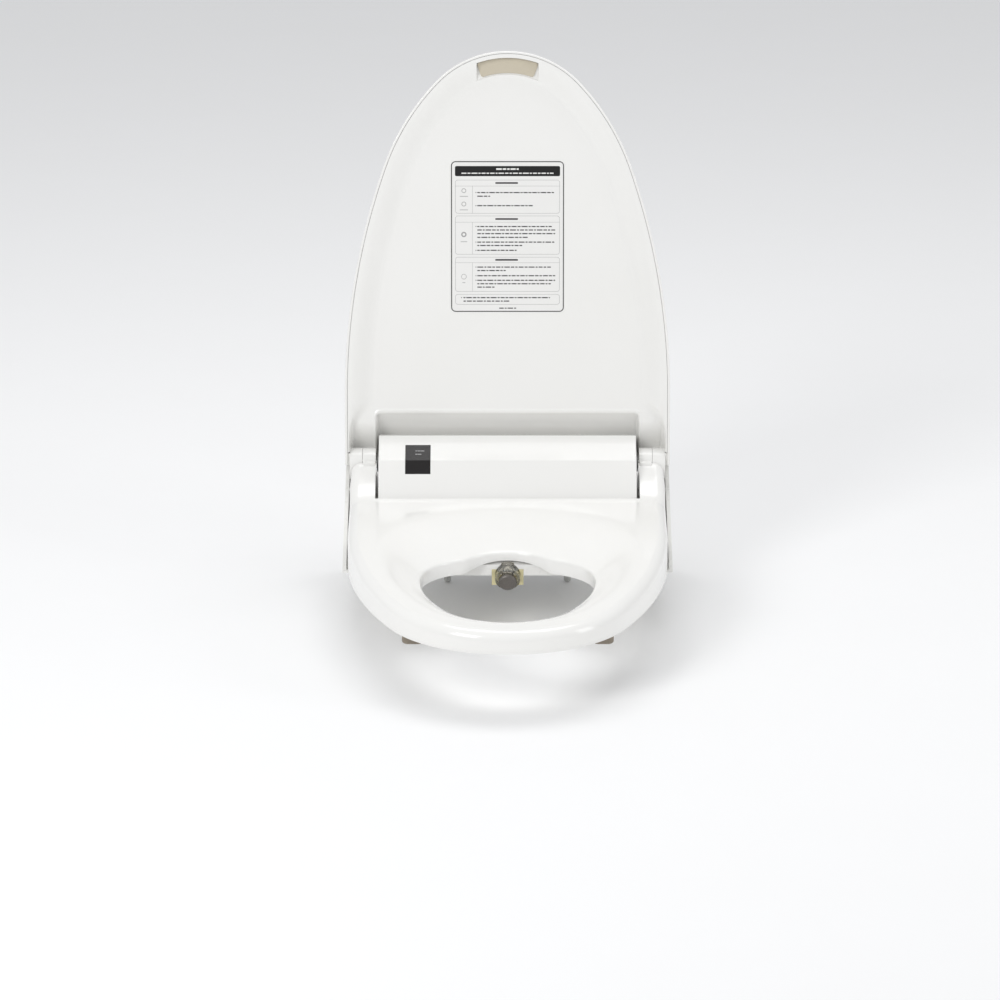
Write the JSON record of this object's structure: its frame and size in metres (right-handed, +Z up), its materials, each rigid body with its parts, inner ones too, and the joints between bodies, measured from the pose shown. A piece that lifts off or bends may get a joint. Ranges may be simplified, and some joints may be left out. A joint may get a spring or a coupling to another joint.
{
  "type": "electric bidet seat",
  "caption": "Heated toilet seat with a raised lid, a hinged ring seat, a washing nozzle on a slide and the water and electric units in its rear housing.",
  "frame": {"origin": "midway between the two fixing bolts, in the plane where the seat's housing rests on the bowl", "axes": "-Y towards the front of the bowl, +X to the right seen from the front, +Z up"},
  "size_m": [0.3767, 0.5477, 0.6186],
  "materials": {
    "white_shell": "glossy moulded plastic",
    "cover_white": "glossy moulded plastic",
    "smoked_lens": "smoked gloss lens",
    "board_green": "lacquered laminate",
    "lamp_white": "diffusing",
    "dark_parts": "moulded",
    "steel": "brushed",
    "copper_coil": "taped winding",
    "ivory_plastic": "moulded, slightly yellow",
    "grey_plastic": "moulded",
    "clear_sleeve": "translucent moulding",
    "brass_fitting": "turned",
    "grip_beige": "soft elastomer",
    "foot_rubber": "moulded",
    "label_print": "printed film",
    "clear_hose": "silicone",
    "heater_foil": "foil",
    "tank_white": "moulded"
  },
  "bodies": {
    "base": {"base_tray": "white_shell", "top_cover": "cover_white", "front_deck": "white_shell", "display_window": "smoked_lens", "display_board": "board_green", "indicator_lamps": "lamp_white", "hinge_brackets": "steel", "seat_damper_housing": "dark_parts", "lid_damper_housing": "dark_parts", "mounting_plate": "grey_plastic", "bolt_adjusters": "dark_parts", "mounting_bolts": "steel", "base_pads": "foot_rubber", "nozzle_guide": "ivory_plastic", "nozzle_sleeve": "clear_sleeve", "nozzle_motor": "steel", "heater_tank": "tank_white", "heater_element": "steel", "flow_sensor_body": "grey_plastic", "valve_body": "grey_plastic", "valve_coil": "copper_coil", "inlet_spigot": "brass_fitting", "water_hoses": "clear_hose", "selector_body": "grey_plastic", "selector_motor": "steel", "power_module": "copper_coil", "control_board": "board_green", "board_posts": "grey_plastic", "board_components": "dark_parts", "cord_gland": "dark_parts", "case_screws": "steel"},
    "lid": {"lid_outer_shell": "white_shell", "lid_inner_panel": "white_shell", "lid_grip_pad": "grip_beige", "lid_label": "label_print", "lid_damper_shaft": "steel", "lid_bush": "ivory_plastic"},
    "seat": {"seat_upper_shell": "white_shell", "seat_lower_shell": "white_shell", "seat_heater": "heater_foil", "seat_feet": "foot_rubber", "seat_damper_shaft": "steel", "seat_bush": "ivory_plastic"},
    "nozzle": {"nozzle_tube": "tank_white", "nozzle_tip": "steel", "nozzle_cap": "dark_parts", "nozzle_rack": "ivory_plastic"},
    "pinion": {"drive_pinion": "ivory_plastic"},
    "button": {"release_button": "grey_plastic"},
    "plunger": {"valve_plunger": "steel"},
    "turbine": {"flow_turbine": "ivory_plastic"},
    "selector": {"selector_rotor": "ivory_plastic"}
  },
  "joints": [
    {"name": "lid_hinge", "type": "hinge", "parent": "base", "child": "lid", "pos_m": [0, 0, 0.082], "axis": [-1, 0, 0], "range_deg": [-103, 0]},
    {"name": "seat_hinge", "type": "hinge", "parent": "base", "child": "seat", "pos_m": [0, 0, 0.082], "axis": [-1, 0, 0], "range_deg": [0, 97]},
    {"name": "nozzle_slide", "type": "slide", "parent": "base", "child": "nozzle", "axis": [0, -0.9511, -0.309], "range_m": [0, 0.07]},
    {"name": "pinion_spin", "type": "hinge", "parent": "base", "child": "pinion", "pos_m": [0.0185, -0.07689, 0.0314], "axis": [0, -0.309, 0.9511], "range_deg": [-700, 700]},
    {"name": "button_press", "type": "slide", "parent": "base", "child": "button", "axis": [-1, 0, 0], "range_m": [0, 0.003], "stiffness_N_per_m": 600},
    {"name": "valve_lift", "type": "slide", "parent": "base", "child": "plunger", "axis": [0, 0, 1], "range_m": [0, 0.003], "stiffness_N_per_m": 300, "springref_m": -0.002},
    {"name": "turbine_spin", "type": "hinge", "parent": "base", "child": "turbine", "pos_m": [0.134, 0, 0.024], "axis": [1, 0, 0], "continuous": true},
    {"name": "selector_turn", "type": "hinge", "parent": "base", "child": "selector", "pos_m": [-0.045, -0.022, 0.016], "axis": [0, 0, 1], "range_deg": [0, 180]}
  ],
  "couplings": [
    {"joint": "pinion_spin", "follows": "nozzle_slide", "rad_per_m": 166.67}
  ]
}
